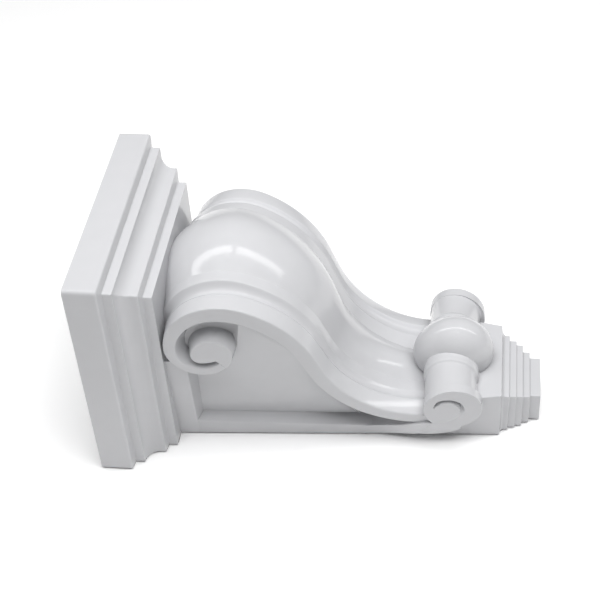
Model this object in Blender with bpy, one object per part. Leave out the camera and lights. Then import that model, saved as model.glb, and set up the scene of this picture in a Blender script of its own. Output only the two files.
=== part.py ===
"""A moulded scroll corbel, modelled upright as it hangs under a shelf.

The back lies on the wall plane y = 0, the front looks along -Y and the cap is on top.
The origin lies on the flat back at FIXING_HEIGHT. Heights below are measured up from
the tip of the foot, depths forward from the wall, and half widths out from the middle.
"""
import math

import bpy
import bmesh

# Overall sizes, in metres
HEIGHT = 0.267
CAP_WIDTH = 0.150
CAP_DEPTH = 0.146
FIXING_HEIGHT = 0.150

# Cap mouldings, from the top down; insets are measured from the slab's edge
SLAB_HEIGHT = 0.0195
SLAB_DRIP = 0.0009
FILLET_INSET = 0.0063
FILLET_HEIGHT = 0.0057
COVE_RADIUS = 0.0089
BAND_HEIGHT = 0.0026
NECK_STEP = 0.0062
NECK_DROP = 0.0008
NECK_HEIGHT = 0.0054
COVE_STEPS = 6

# Side of the body: a rail along the wall and a post under the cap frame a sunk panel
BLOCK_WIDTH = 0.062
RAIL_WIDTH_TOP = 0.0864
FLANK_FLARE = 0.10
RAIL_DEPTH_TOP = 0.0125
RAIL_DEPTH_FOOT = 0.0086
RAIL_CURVE_START = 0.099
RAIL_CURVE_POWER = 1.3
POST_HEIGHT = 0.0123
POST_DEPTH = 0.0705
PANEL_SINK = (0.0083, 0.0064)
WALL_DRAFT = 0.40

# Panel floor: flush with the band's inner edge at first, then sinking under it
FLOOR_SINK_START = 0.1335
FLOOR_SINK_END = 0.1830
FLOOR_SINK = 0.0045
FLOOR_SINK_POWER = 2.4
POCKET_BOTTOM = 0.1750
POCKET_SINK = 0.0098
POCKET_CORNER = (0.0790, 0.1800)
POCKET_CORNER_SINK = 0.0064

# Scroll band: its side arris is a chain of arcs in the side view
VALLEY_DEPTH = 0.0267
VALLEY_HEIGHT = 0.0707
TAIL_LENGTH = 0.014
HOLLOW_RADIUS = 0.0629
HOLLOW_TURN = math.radians(67.2)
SLOPE_LENGTH = 0.0150
SHOULDER_RADIUS = 0.0701
SHOULDER_END = math.radians(21.1)
VOLUTE_RADII = (0.0350, 0.0221, 0.0178)
BAND_HALF_WIDTH = 0.0364
BAND_RISE = 0.0617
BAND_FLARE = 0.0621
BAND_EDGE_FOOT = 0.0068
BAND_EDGE_TOP = 0.0109
BAND_EDGE_EYE = 0.0057
EYE_START = math.radians(-230)
EYE_LEAN_TURN = math.radians(60)
EYE_RADII = (0.0117, 0.0129, 0.0061, 0.0200)
EYE_LAST_TURN = math.radians(-25)
EYE_DRAFT = 0.30
EYE_PROUD = 0.0002
BAND_SINK = 0.0120

# Relief across the scroll: rim, channel, fillet and cushion, at the foot and at the top
RIM_WIDTH = (0.0102, 0.0112)
RIM_RISE = (0.0033, 0.0010)
CHANNEL_WIDTH = (0.0086, 0.0084)
CHANNEL_SINK = (0.0018, 0.0020)
CHANNEL_POWER = 2.6
FILLET_WIDTH = (0.0110, 0.0068)
FILLET_RISE = (0.0010, 0.0041)
FILLET_TILT = (-0.0024, 0.0012)
CUSHION_BULGE = (0.0040, 0.0085)
RELIEF_FADE = (math.radians(-94), math.radians(-116))

# Lower volute: end discs on a short cross pin with a bead in its middle
PIN_DEPTH = 0.0340
PIN_HEIGHT = 0.0530
DISC_RADIUS = 0.0175
DISC_HALF_SPAN = 0.0441
DISC_THICKNESS = 0.0062
DISC_ROUND = 0.0010
DISC_RISE = 0.095
DISC_FLARE = 0.100
PIN_NECK_DEPTH = 0.0350
PIN_NECK_HEIGHT = 0.0540
PIN_NECK_RADIUS = 0.0159
COLLAR_DEPTH = 0.0365
COLLAR_HEIGHT = 0.0549
COLLAR_RADIUS = 0.0169
COLLAR_ROUND = 0.0012
COLLAR_INNER = 0.0125
COLLAR_OUTER = 0.0211
BEAD_RADIUS = 0.0232
BEAD_HALF_LENGTH = 0.0177
BEAD_DEPTH = 0.0417
BEAD_HEIGHT = 0.0528
BEAD_SWELL = 0.16
BEAD_SWELL_ANGLE = math.radians(112)
BEAD_STEPS = 14

# Groove that winds round the middle of each end disc
GROOVE_DEPTH = 0.0335
GROOVE_HEIGHT = 0.0565
GROOVE_RADIUS = 0.0084
GROOVE_END_RADIUS = 0.0100
GROOVE_WIDTH = 0.0031
GROOVE_SINK = 0.0030
GROOVE_START = math.radians(84)
GROOVE_TURN = math.radians(-218)
GROOVE_STEPS = 18

# Strap: the rail's lower end curls forward into the discs and flares out to their
# faces; its lower edge and its front arris as (depth, height) from the wall
STRAP_LOWER = ((-0.0080, 0.1070), (0.0012, 0.1010), (0.0026, 0.0942), (0.0044, 0.0848), (0.0057, 0.0786),
               (0.0068, 0.0725), (0.0077, 0.0664), (0.0090, 0.0603), (0.0127, 0.0507), (0.0198, 0.0424),
               (0.0301, 0.0367))
STRAP_UPPER = ((0.0082, 0.1070), (0.0096, 0.1010), (0.0117, 0.0942), (0.0152, 0.0848), (0.0177, 0.0786),
               (0.0198, 0.0725), (0.0209, 0.0664), (0.0224, 0.0598), (0.0243, 0.0544), (0.0271, 0.0509),
               (0.0330, 0.0487))
STRAP_REACH = (0.016, 0.062)
STRAP_SINK = 0.0040

# Foot: a block and stepped layers, each with its width, depth and lower edge
BLOCK_DEPTH = 0.0343
BLOCK_BOTTOM = 0.0244
FOOT_COVE = 0.0026
FOOT_LAYERS = (
    (0.0536, 0.0297, 0.0193),
    (0.0489, 0.0275, 0.0149),
    (0.0453, 0.0258, 0.0109),
    (0.0392, 0.0228, 0.0065),
    (0.0330, 0.0208, 0.0000),
)

# How far joined forms run into each other, and the angle that shades as an arris
LAP = 0.004
FINE_LAP = 0.001
SHARP_ANGLE = math.radians(28)
ROUND_STEPS = 36
CORE_ROWS = 26
RAIL_ROWS = 16

UNDERSIDE = (HEIGHT - SLAB_HEIGHT - FILLET_HEIGHT - COVE_RADIUS - BAND_HEIGHT
             - NECK_HEIGHT - SLAB_DRIP - NECK_DROP)


def clear_scene():
    """Remove every object that is in the scene."""
    for item in list(bpy.data.objects):
        bpy.data.objects.remove(item, do_unlink=True)


def mix(pair, share):
    """Value between the two ends of a pair."""
    return pair[0] + (pair[1] - pair[0]) * share


def ease(share):
    """Smooth step from 0 to 1."""
    share = min(1.0, max(0.0, share))
    return share * share * (3.0 - 2.0 * share)


def new_object(name, vertices, faces, helper=True):
    """Object from corner points and faces, with its faces turned outwards."""
    mesh = bpy.data.meshes.new(name)
    mesh.from_pydata([(x, y, z - FIXING_HEIGHT) for x, y, z in vertices], [], faces)
    shape = bmesh.new()
    shape.from_mesh(mesh)
    bmesh.ops.recalc_face_normals(shape, faces=shape.faces)
    bmesh.ops.triangulate(shape, faces=shape.faces)
    shape.to_mesh(mesh)
    shape.free()
    mesh.shade_smooth()
    mesh.set_sharp_from_angle(angle=SHARP_ANGLE)
    item = bpy.data.objects.new(name, mesh)
    bpy.context.collection.objects.link(item)
    if helper:
        item.hide_render = True
        item.display_type = "WIRE"
    return item


def loft(name, rings, helper=True):
    """Closed body through a row of rings that all have the same number of points."""
    count = len(rings[0])
    vertices = [point for ring in rings for point in ring]
    faces = []
    for row in range(len(rings) - 1):
        for k in range(count):
            a = row * count + k
            b = row * count + (k + 1) % count
            faces.append((a, b, b + count, a + count))
    last = (len(rings) - 1) * count
    faces.append(tuple(range(count)))
    faces.append(tuple(last + k for k in range(count)))
    return new_object(name, vertices, faces, helper)


def rectangle(width, depth, height, behind):
    """Ring of a level rectangle that runs on behind the wall plane."""
    half = width / 2
    return [(-half, behind, height), (half, behind, height), (half, -depth, height), (-half, -depth, height)]


def flank(depth, height):
    """Half width of rail, post and block at a depth and height."""
    rise = (RAIL_WIDTH_TOP - BLOCK_WIDTH) / 2 / (UNDERSIDE - BLOCK_BOTTOM)
    return BLOCK_WIDTH / 2 + rise * (height - BLOCK_BOTTOM) + FLANK_FLARE * depth


def band_face(depth, height):
    """Half width of the scroll band's side face."""
    return BAND_HALF_WIDTH + BAND_RISE * height + BAND_FLARE * depth


def cap():
    """Slab, fillet, cove, band and neck, each mitred round the front corners."""
    level = HEIGHT
    profile = [(0.0, level)]
    level -= SLAB_HEIGHT
    profile.append((0.0, level))
    level -= SLAB_DRIP
    profile.append((FILLET_INSET, level))
    level -= FILLET_HEIGHT
    for k in range(COVE_STEPS + 1):
        angle = math.pi / 2 * k / COVE_STEPS
        profile.append((FILLET_INSET + COVE_RADIUS * math.sin(angle),
                        level - COVE_RADIUS * (1 - math.cos(angle))))
    level -= COVE_RADIUS + BAND_HEIGHT
    inset = FILLET_INSET + COVE_RADIUS
    profile.append((inset, level))
    inset += NECK_STEP
    level -= NECK_DROP
    profile.append((inset, level))
    profile.append((inset, level - NECK_HEIGHT))
    rings = [rectangle(CAP_WIDTH - 2 * i, CAP_DEPTH - i, z, LAP) for i, z in profile]
    return loft("corbel", rings, helper=False)


def foot():
    """Block, the cove under it and the stepped layers that narrow to the tip."""
    back = flank(0.0, PIN_HEIGHT) - FINE_LAP * 0.3
    front = flank(BLOCK_DEPTH, PIN_HEIGHT) - FINE_LAP * 0.3
    behind = LAP * 1.2
    rings = [[(-back, behind, PIN_HEIGHT), (back, behind, PIN_HEIGHT),
              (front, -BLOCK_DEPTH, PIN_HEIGHT), (-front, -BLOCK_DEPTH, PIN_HEIGHT)],
             rectangle(BLOCK_WIDTH, BLOCK_DEPTH, BLOCK_BOTTOM, behind)]
    width, depth, bottom = FOOT_LAYERS[0]
    inset = (BLOCK_WIDTH - width) / 2
    for k in range(COVE_STEPS + 1):
        angle = math.pi / 2 * k / COVE_STEPS
        rings.append(rectangle(BLOCK_WIDTH - 2 * inset * math.sin(angle),
                               BLOCK_DEPTH - (BLOCK_DEPTH - depth) * math.sin(angle),
                               BLOCK_BOTTOM - FOOT_COVE * (1 - math.cos(angle)) - FINE_LAP * 0.1, behind))
    rings.append(rectangle(width, depth, bottom, behind))
    for width, depth, lower in FOOT_LAYERS[1:]:
        rings.append(rectangle(width, depth, bottom - FINE_LAP * 0.1, behind))
        rings.append(rectangle(width, depth, lower, behind))
        bottom = lower
    return loft("foot", rings)


class Scroll:
    """The band's arris in the side view, as stations with place, heading and shares."""

    def __init__(self):
        self.stations = []
        self.depth = VALLEY_DEPTH
        self.height = VALLEY_HEIGHT - TAIL_LENGTH
        self.heading = 0.0
        self.travel = 0.0
        self.keep()
        self.line(TAIL_LENGTH, 2)
        self.arc(HOLLOW_RADIUS, HOLLOW_TURN, 12)
        self.line(SLOPE_LENGTH, 1)
        self.arc(SHOULDER_RADIUS, SHOULDER_END - HOLLOW_TURN, 10)
        turns = (-math.pi / 2 - SHOULDER_END, -math.pi / 2, -math.pi / 2)
        for radius, turn, steps in zip(VOLUTE_RADII, turns, (18, 9, 9)):
            self.arc(radius, turn, steps)
        self.band_count = len(self.stations)
        turns = (-math.pi / 2, -math.pi / 2, -math.pi / 2, EYE_LAST_TURN)
        for radius, turn, steps in zip(EYE_RADII, turns, (8, 8, 6, 3)):
            self.arc(radius, turn, steps)

    def keep(self):
        """Store the present station."""
        self.stations.append((self.depth, self.height, self.heading, self.travel))

    def line(self, length, steps):
        """Go straight on."""
        for _ in range(steps):
            self.depth += math.sin(self.heading) * length / steps
            self.height += math.cos(self.heading) * length / steps
            self.travel += length / steps
            self.keep()

    def arc(self, radius, turn, steps):
        """Turn round a centre; a positive turn bends away from the wall."""
        side = math.copysign(1.0, turn)
        centre = (self.depth + side * radius * math.cos(self.heading),
                  self.height - side * radius * math.sin(self.heading))
        for _ in range(steps):
            self.heading += turn / steps
            self.depth = centre[0] - side * radius * math.cos(self.heading)
            self.height = centre[1] + side * radius * math.sin(self.heading)
            self.travel += abs(radius * turn) / steps
            self.keep()


def relief(half, share, strength):
    """Points (half width, rise) across one half of the front, from arris to middle."""
    rim = mix(RIM_WIDTH, share)
    channel = mix(CHANNEL_WIDTH, share)
    fillet = mix(FILLET_WIDTH, share)
    rim_rise = mix(RIM_RISE, share)
    sink = mix(CHANNEL_SINK, share)
    fillet_rise = mix(FILLET_RISE, share)
    tilt = mix(FILLET_TILT, share)
    bulge = mix(CUSHION_BULGE, share)
    points = [(0.0, 0.0), (rim, rim_rise)]
    for k in (1, 2, 3, 4, 5):
        part = k / 5
        climb = (fillet_rise - rim_rise) * part ** CHANNEL_POWER
        points.append((rim + channel * part, rim_rise + climb - sink * math.sin(part * math.pi)))
    edge = rim + channel + fillet
    points.append((edge, fillet_rise + tilt))
    for k in (1, 2, 3, 4, 5):
        part = k / 5
        swell = bulge * math.sin(part * math.pi / 2)
        points.append((edge + (half - edge) * part, fillet_rise + tilt + swell))
    return [(half - across, rise * strength) for across, rise in points]


def band_edge(travel, top_travel, end_travel):
    """Width of the band's side face at a travel along the arris."""
    before = min(1.0, travel / top_travel)
    beyond = min(1.0, 1.6 * max(0.0, travel - top_travel) / (end_travel - top_travel))
    edge = mix((BAND_EDGE_FOOT, BAND_EDGE_TOP), ease(before))
    return edge + (BAND_EDGE_EYE - BAND_EDGE_TOP) * beyond


def band_lines():
    """Stations of the arris with the band's width, and the travel at its foremost point."""
    path = Scroll()
    stations = path.stations[:path.band_count]
    top_travel = max(stations)[3]
    end_travel = stations[-1][3]
    return [(*station, band_edge(station[3], top_travel, end_travel)) for station in stations], top_travel


def inward(station, distance):
    """Point (depth, height) at a distance inside the arris."""
    depth, height, heading = station[:3]
    return depth - math.cos(heading) * distance, height + math.sin(heading) * distance


def scroll():
    """The band swept along its arris, with the relief on its front."""
    lines, top_travel = band_lines()
    rings = []
    for station in lines:
        depth, height, heading, travel, edge = station
        strength = 1.0 - ease((heading - RELIEF_FADE[0]) / (RELIEF_FADE[1] - RELIEF_FADE[0]))
        half = band_face(depth, height)
        ring = []
        front = relief(half, min(1.0, travel / top_travel), strength)
        for across, rise in front:
            outer = inward(station, -rise)
            ring.append((-across, -outer[0], outer[1]))
        for across, rise in reversed(front[:-1]):
            outer = inward(station, -rise)
            ring.append((across, -outer[0], outer[1]))
        rim = inward(station, edge)
        root = inward(station, edge + WALL_DRAFT * BAND_SINK)
        inner = band_face(*rim)
        ring.append((inner, -rim[0], rim[1]))
        ring.append((inner - BAND_SINK, -root[0], root[1]))
        ring.append((-(inner - BAND_SINK), -root[0], root[1]))
        ring.append((-inner, -rim[0], rim[1]))
        rings.append(ring)
    return loft("scroll_band", rings)


def depth_at(points, height):
    """Depth on a rising line of (depth, height) points at a height."""
    for (d0, h0), (d1, h1) in zip(points, points[1:]):
        if h0 <= height <= h1:
            return d0 + (d1 - d0) * (height - h0) / (h1 - h0)
    return points[0][0] if height < points[0][1] else points[-1][0]


def rail_depth(height):
    """Depth of the rail's front arris at a height."""
    top = UNDERSIDE - POST_HEIGHT
    share = max(0.0, height - RAIL_CURVE_START) / (top - RAIL_CURVE_START)
    return mix((RAIL_DEPTH_FOOT, RAIL_DEPTH_TOP), share ** RAIL_CURVE_POWER)


def panel_sink(height):
    """How deep the panel floor lies under the rail's arris at a height."""
    return mix(PANEL_SINK, (height - VALLEY_HEIGHT) / (UNDERSIDE - VALLEY_HEIGHT))


def core():
    """Body between the two panel floors, from behind the pin to the cap."""
    lines, _ = band_lines()
    rising = [station for station in lines if station[2] > -math.pi / 2 + 0.01]
    edge_line = [inward(station, station[4]) for station in rising]
    hidden_line = [inward(station, station[4] * 0.5) for station in rising]
    bottom = PIN_HEIGHT - LAP
    top = UNDERSIDE + LAP
    rings = []
    for k in range(CORE_ROWS + 1):
        height = bottom + (top - bottom) * k / CORE_ROWS
        sink = panel_sink(height)
        rail = rail_depth(height)
        deep = rail + WALL_DRAFT * sink
        deep_half = flank(rail, height) - sink
        edge = depth_at(edge_line, min(height, FLOOR_SINK_END))
        front = max(depth_at(hidden_line, height), deep + FINE_LAP)
        under = max(0.0, height - FLOOR_SINK_START) / (FLOOR_SINK_END - FLOOR_SINK_START)
        edge_half = band_face(edge, height) - FLOOR_SINK * under ** FLOOR_SINK_POWER - FINE_LAP * 0.05
        slope = (edge_half - deep_half) / (edge - deep)
        bend = min(edge, front - FINE_LAP)
        side = [(deep_half, -LAP * 1.4), (deep_half, deep), (deep_half + slope * (bend - deep), bend)]
        side.append((side[-1][0] - FINE_LAP, front))
        ring = [(x, -depth, height) for x, depth in side]
        ring += [(-x, -depth, height) for x, depth in reversed(side)]
        rings.append(ring)
    return loft("core", rings)


def rail():
    """Strip along the wall that frames the panel, with its front wall drafted."""
    rings = []
    bottom = PIN_HEIGHT - LAP
    top = UNDERSIDE + LAP
    for k in range(RAIL_ROWS + 1):
        height = bottom + (top - bottom) * k / RAIL_ROWS
        arris = rail_depth(height)
        sink = panel_sink(height) + FINE_LAP
        side = [(flank(0.0, height), -LAP * 1.6), (flank(0.0, height), 0.0), (flank(arris, height), arris),
                (flank(arris, height) - sink, arris + WALL_DRAFT * sink)]
        ring = [(x, -depth, height) for x, depth in side]
        ring += [(-x, -depth, height) for x, depth in reversed(side)]
        rings.append(ring)
    return loft("rail", rings)


def post():
    """Bar under the cap that closes the panel at the top."""
    rings = []
    low = UNDERSIDE - POST_HEIGHT
    high = UNDERSIDE + LAP
    for depth in (-LAP * 1.8, 0.0, POST_DEPTH):
        reach = max(0.0, depth)
        sink = panel_sink(low) + FINE_LAP + FLANK_FLARE * reach
        low_half = flank(reach, low) + FINE_LAP * 0.1
        side = [(flank(reach, high) + FINE_LAP * 0.1, high), (low_half, low),
                (low_half - sink, low - WALL_DRAFT * sink)]
        ring = [(x, -depth, height) for x, height in side]
        ring += [(-x, -depth, height) for x, height in reversed(side)]
        rings.append(ring)
    return loft("post", rings)


def pockets():
    """Cutter for the deep ground round the eyes, one prism on each side."""
    lines, _ = band_lines()
    outline = [inward(station, station[4] * 0.5) for station in lines]
    outline = [(depth, height) for depth, height in outline if height > POCKET_BOTTOM]
    outline = [(outline[0][0], POCKET_BOTTOM)] + outline + [POCKET_CORNER]
    sinks = [POCKET_SINK] * (len(outline) - 1) + [POCKET_CORNER_SINK]
    vertices = []
    faces = []
    count = len(outline)
    for side in (-1, 1):
        first = len(vertices)
        for (depth, height), sink in zip(outline, sinks):
            vertices.append((side * (band_face(depth, height) - sink), -depth, height))
        for depth, height in outline:
            vertices.append((side * (band_face(depth, height) + LAP), -depth, height))
        faces.append(tuple(range(first, first + count)))
        faces.append(tuple(range(first + count, first + 2 * count)))
        for k in range(count):
            a = first + k
            b = first + (k + 1) % count
            faces.append((a, b, b + count, a + count))
    return new_object("pockets", vertices, faces)


def circle(depth, height, radius):
    """Points (depth, height) round a circle in the side view."""
    return [(depth + radius * math.cos(2 * math.pi * k / ROUND_STEPS),
             height + radius * math.sin(2 * math.pi * k / ROUND_STEPS)) for k in range(ROUND_STEPS)]


def eyes():
    """Middle of each volute, where the band winds in to its tip, drafted down to the pocket."""
    winding = [station for station in Scroll().stations if station[2] < EYE_START]
    rings = []
    for side, sink in ((-1, -EYE_PROUD), (-1, BAND_SINK), (1, BAND_SINK), (1, -EYE_PROUD)):
        spread = EYE_DRAFT * max(0.0, sink)
        outline = [inward(station, -spread * min(1.0, (EYE_START - station[2]) / EYE_LEAN_TURN))
                   for station in winding]
        rings.append([(side * (band_face(depth, height) - sink), -depth, height)
                      for depth, height in outline])
    return loft("eyes", rings)


def disc_face(depth, height):
    """Half width of the end discs' faces."""
    return DISC_HALF_SPAN + DISC_RISE * (height - PIN_HEIGHT) + DISC_FLARE * (depth - PIN_DEPTH)


def pin():
    """Cross pin: two end discs with rounded edges, necks and collars."""
    disc = (PIN_DEPTH, PIN_HEIGHT)
    neck = (PIN_NECK_DEPTH, PIN_NECK_HEIGHT)
    collar = (COLLAR_DEPTH, COLLAR_HEIGHT)
    rows = [(DISC_ROUND * (1 - math.cos(math.pi / 2 * k / 3)),
             DISC_RADIUS - DISC_ROUND * (1 - math.sin(math.pi / 2 * k / 3)), disc) for k in range(4)]
    rows.append((DISC_THICKNESS, DISC_RADIUS, disc))
    rows.append((DISC_THICKNESS, PIN_NECK_RADIUS, neck))
    upright = [(COLLAR_OUTER, PIN_NECK_RADIUS, neck), (COLLAR_OUTER, COLLAR_RADIUS - COLLAR_ROUND, collar),
               (COLLAR_OUTER - COLLAR_ROUND, COLLAR_RADIUS, collar), (COLLAR_INNER, COLLAR_RADIUS, collar)]
    half_pin = []
    for along, radius, centre in rows:
        half_pin.append([(disc_face(depth, height) - along, depth, height)
                         for depth, height in circle(*centre, radius)])
    for along, radius, centre in upright:
        half_pin.append([(along, depth, height) for depth, height in circle(*centre, radius)])
    rings = []
    for side, ordered in ((-1, half_pin), (1, half_pin[::-1])):
        rings += [[(side * half, -depth, height) for half, depth, height in ring] for ring in ordered]
    return loft("pin", rings)


def grooves():
    """Cutters for the groove on each disc: narrow and shallow at both ends of its turn."""
    cutters = []
    for name, side in (("groove_left", -1), ("groove_right", 1)):
        rings = []
        for k in range(GROOVE_STEPS + 1):
            share = k / GROOVE_STEPS
            angle = GROOVE_START + GROOVE_TURN * share
            middle = mix((GROOVE_RADIUS, GROOVE_END_RADIUS), max(0.0, 2.0 * share - 1.0) ** 2)
            half = GROOVE_WIDTH / 2 * (0.1 + 0.9 * ease(share / 0.3))
            sink = GROOVE_SINK * ease(share / 0.2) * ease((1 - share) / 0.5) - FINE_LAP * 0.2
            ring = []
            section = ((half, -FINE_LAP), (half * 0.8, sink), (-half * 0.2, sink), (-half, -FINE_LAP))
            for offset, level in section:
                depth = GROOVE_DEPTH + (middle + offset) * math.cos(angle)
                height = GROOVE_HEIGHT + (middle + offset) * math.sin(angle)
                ring.append((side * (disc_face(depth, height) - level), -depth, height))
            rings.append(ring)
        cutters.append(loft(name, rings))
    return cutters


def strap_face(depth, height):
    """Half width of the strap's side: the flank's far from the pin, the discs' near it."""
    distance = math.hypot(depth - PIN_DEPTH, height - PIN_HEIGHT)
    share = ease((STRAP_REACH[1] - distance) / (STRAP_REACH[1] - STRAP_REACH[0]))
    return mix((flank(depth, height), disc_face(depth, height)), share) - FINE_LAP * 0.3


def strap():
    """Lower end of the rail, curling forward from the wall into the discs."""
    rings = []
    for lower, upper in zip(STRAP_LOWER, STRAP_UPPER):
        low_half = strap_face(*lower)
        high_half = strap_face(*upper)
        side = [(low_half, *lower), (high_half, *upper),
                (high_half - STRAP_SINK, upper[0] + WALL_DRAFT * STRAP_SINK, upper[1])]
        ring = [(x, -depth, height) for x, depth, height in side]
        ring += [(-x, -depth, height) for x, depth, height in reversed(side)]
        rings.append(ring)
    return loft("strap", rings)


def bead():
    """Swelling in the pin's middle, longer round than across, that runs out towards the scroll."""
    rings = []
    for k in range(1, BEAD_STEPS):
        angle = math.pi * k / BEAD_STEPS
        x = -BEAD_HALF_LENGTH * math.cos(angle)
        ring = []
        for around in range(ROUND_STEPS):
            turn = 2 * math.pi * around / ROUND_STEPS
            swell = 1 + BEAD_SWELL * max(0.0, math.cos(turn - BEAD_SWELL_ANGLE)) ** 3
            radius = BEAD_RADIUS * math.sin(angle) * swell
            ring.append((x, -BEAD_DEPTH - radius * math.cos(turn), BEAD_HEIGHT + radius * math.sin(turn)))
        rings.append(ring)
    return loft("bead", rings)


def wall():
    """Block that cuts the back off flat on the wall plane."""
    width = CAP_WIDTH
    return loft("wall", [[(-width, 0.0, z), (width, 0.0, z), (width, CAP_DEPTH, z), (-width, CAP_DEPTH, z)]
                         for z in (-LAP, HEIGHT + LAP)])


def join(base, others, operation):
    """Add one Boolean modifier per helper to the base object."""
    for other in others:
        step = base.modifiers.new(other.name, "BOOLEAN")
        step.operation = operation
        step.solver = "EXACT"
        step.object = other


def material():
    """White gloss of the moulding."""
    white = bpy.data.materials.new("white_moulding")
    white.use_nodes = True
    shader = white.node_tree.nodes["Principled BSDF"]
    shader.inputs["Base Color"].default_value = (0.80, 0.80, 0.81, 1.0)
    shader.inputs["Roughness"].default_value = 0.22
    return white


def build():
    """Make the forms and join them into the one solid."""
    clear_scene()
    corbel = cap()
    corbel.data.materials.append(material())
    join(corbel, [core()], "UNION")
    join(corbel, [pockets()], "DIFFERENCE")
    join(corbel, [scroll(), eyes(), foot(), strap(), pin(), bead(), post(), rail()], "UNION")
    join(corbel, [*grooves(), wall()], "DIFFERENCE")


build()
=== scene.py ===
# %% [markdown]
# # A moulded scroll corbel
#
# A corbel is a bracket under a shelf or a cornice. This one is cast in one piece: a square cap,
# an S-shaped body that curls into a volute on each side, a cross pin with a bead, and a stepped
# foot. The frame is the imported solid. Everything below is a finer skin for the same forms.

# %% Load the frame
import math

import bmesh
import bpy
import numpy as np
from mathutils import Matrix
from mathutils.geometry import delaunay_2d_cdt


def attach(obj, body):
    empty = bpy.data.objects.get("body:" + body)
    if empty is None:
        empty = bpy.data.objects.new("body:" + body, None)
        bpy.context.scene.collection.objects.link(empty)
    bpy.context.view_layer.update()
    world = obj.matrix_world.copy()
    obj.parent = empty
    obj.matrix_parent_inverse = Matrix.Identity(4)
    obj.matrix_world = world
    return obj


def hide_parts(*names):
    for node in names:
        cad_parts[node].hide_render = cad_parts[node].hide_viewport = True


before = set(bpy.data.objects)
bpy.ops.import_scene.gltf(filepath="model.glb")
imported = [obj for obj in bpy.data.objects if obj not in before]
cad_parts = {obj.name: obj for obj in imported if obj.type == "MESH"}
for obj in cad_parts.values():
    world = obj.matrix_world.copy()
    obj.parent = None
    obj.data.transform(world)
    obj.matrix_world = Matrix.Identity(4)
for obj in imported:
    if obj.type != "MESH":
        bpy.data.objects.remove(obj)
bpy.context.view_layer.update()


# %% [markdown]
# ## The sizes
#
# The corbel is described as it hangs: heights go up from the tip of the foot, depths go forward
# from the wall, and half widths go out from the middle plane. The frame's origin is the fixing
# point on the back, so a height loses the fixing height when it becomes a Z.

# %% Sizes of the whole
HEIGHT = 0.267
CAP_WIDTH = 0.150
CAP_DEPTH = 0.146
FIXING_HEIGHT = 0.150
UNDERSIDE = 0.2232
BODY_TOP_WIDTH = 0.0864
BLOCK_BOTTOM = 0.0244
BLOCK_WIDTH = 0.062
BLOCK_DEPTH = 0.0343
PIN_DEPTH = 0.0340
PIN_HEIGHT = 0.0530


def in_frame(half, depth, height):
    """Points in the frame: X is the half width, Y is minus the depth, Z is height less the fixing."""
    half, depth, height = np.broadcast_arrays(half, depth, height)
    return np.stack([half, -depth, height - FIXING_HEIGHT], axis=-1)


print("cap's front corner", in_frame(CAP_WIDTH / 2, CAP_DEPTH, HEIGHT))

# %% [markdown]
# ## Helpers for shells
#
# Each form is a tube of rings: a closed outline repeated along a path, with a flat lid at each
# end. Blender could loft curves or bevel boxes, but rings worked out as arrays let every arris
# get its own small radius, and a cast piece is recognised by those soft edges.

# %% Rings to a closed shell
MERGE_DISTANCE = 1e-7


def tube_faces(rows, columns, first):
    """Quads between neighbouring rings, each column joined to the next and the last to the first."""
    row, column = np.meshgrid(np.arange(rows - 1), np.arange(columns), indexing="ij")
    after = (column + 1) % columns
    quads = np.stack([row * columns + column, row * columns + after,
                      (row + 1) * columns + after, (row + 1) * columns + column], axis=-1)
    return quads.reshape(-1, 4) + first


def shell_mesh(name, bodies, patches):
    """One mesh of closed shells with their faces turned outwards.

    Every body is an array (rings, points round a ring, 3), and every patch is points and faces.
    """
    points, quads, lids = [], [], []
    first = 0
    for body in bodies:
        rows, columns = body.shape[:2]
        points.append(body.reshape(-1, 3))
        quads.append(tube_faces(rows, columns, first))
        lids.append(np.arange(first, first + columns)[::-1])
        lids.append(np.arange(first + (rows - 1) * columns, first + rows * columns))
        first += rows * columns
    faces = np.concatenate(quads).tolist() + [lid.tolist() for lid in lids]
    for patch_points, patch_faces in patches:
        points.append(patch_points)
        faces += [[corner + first for corner in face] for face in patch_faces]
        first += len(patch_points)
    mesh = bpy.data.meshes.new(name)
    mesh.from_pydata(np.concatenate(points).tolist(), [], faces)
    shape = bmesh.new()
    shape.from_mesh(mesh)
    bmesh.ops.remove_doubles(shape, verts=shape.verts, dist=MERGE_DISTANCE)
    bmesh.ops.recalc_face_normals(shape, faces=shape.faces)
    open_edges = sum(len(edge.link_faces) != 2 for edge in shape.edges)
    print(name, "edges without two faces:", open_edges)
    shape.to_mesh(mesh)
    shape.free()
    return mesh


# %% [markdown]
# A moulding leaves its mould with no knife edges. A Bevel modifier would round every edge alike,
# so each corner of an outline is rounded here before it becomes a ring, with a cut of its own.
# The forms are the same left and right, so half an outline is drawn and mirrored.

# %% Soft corners
LONGEST_CUT = 0.48


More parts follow.
